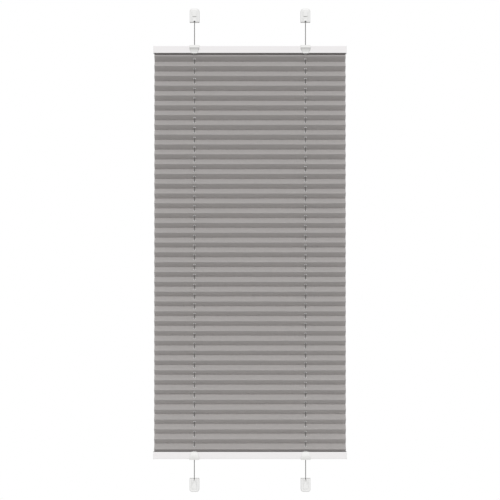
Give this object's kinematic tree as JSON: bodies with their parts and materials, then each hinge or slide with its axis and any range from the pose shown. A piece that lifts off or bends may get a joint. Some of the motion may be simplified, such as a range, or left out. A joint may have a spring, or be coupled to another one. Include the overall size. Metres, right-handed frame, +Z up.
{
  "type": "pleated blind",
  "caption": "Grey pleated fabric window blind between a white head rail and bottom rail that slide on tight vertical cords held by white screw-on feet.",
  "frame": {"origin": "middle of the rectangle of the feet's four screw holes, in the plane of the feet's backs", "axes": "+X to the right seen from the room, +Y into the window or wall that the feet are screwed to, +Z up along the cords"},
  "size_m": [0.4, 0.0331, 1],
  "materials": {
    "white_aluminium": "satin",
    "white_plastic": "satin",
    "clear_strip": "satin",
    "grey_fabric": "matte",
    "grey_cord": "matte",
    "spring_steel": "satin"
  },
  "bodies": {
    "feet_and_cords": {"top_left_foot": "white_plastic", "top_left_shoe": "white_plastic", "bottom_left_foot": "white_plastic", "bottom_left_shoe": "white_plastic", "top_right_foot": "white_plastic", "top_right_shoe": "white_plastic", "bottom_right_foot": "white_plastic", "bottom_right_shoe": "white_plastic", "left_cord": "grey_cord", "right_cord": "grey_cord", "pleated_fabric": "grey_fabric"},
    "head_rail": {"head_rail": "white_aluminium", "head_fabric_strip": "clear_strip", "head_left_end_cap": "white_plastic", "head_left_cord_guide": "white_plastic", "head_left_grip": "white_plastic", "head_right_end_cap": "white_plastic", "head_right_cord_guide": "white_plastic", "head_right_grip": "white_plastic", "head_front_spring": "spring_steel", "head_front_left_crossing_cord": "grey_cord", "head_front_right_crossing_cord": "grey_cord", "head_back_spring": "spring_steel", "head_back_left_crossing_cord": "grey_cord", "head_back_right_crossing_cord": "grey_cord"},
    "bottom_rail": {"bottom_rail": "white_aluminium", "bottom_fabric_strip": "clear_strip", "bottom_left_end_cap": "white_plastic", "bottom_left_cord_guide": "white_plastic", "bottom_left_grip": "white_plastic", "bottom_right_end_cap": "white_plastic", "bottom_right_cord_guide": "white_plastic", "bottom_right_grip": "white_plastic", "bottom_front_crossing_cord": "grey_cord", "bottom_back_crossing_cord": "grey_cord"}
  },
  "joints": [
    {"name": "head_rail_slide", "type": "slide", "parent": "feet_and_cords", "child": "head_rail", "axis": [0, 0, 1], "range_m": [-0.395, 0.0479], "deforming": ["pleated_fabric"]},
    {"name": "bottom_rail_slide", "type": "slide", "parent": "feet_and_cords", "child": "bottom_rail", "axis": [0, 0, 1], "range_m": [-0.038, 0.395], "deforming": ["pleated_fabric"]}
  ]
}
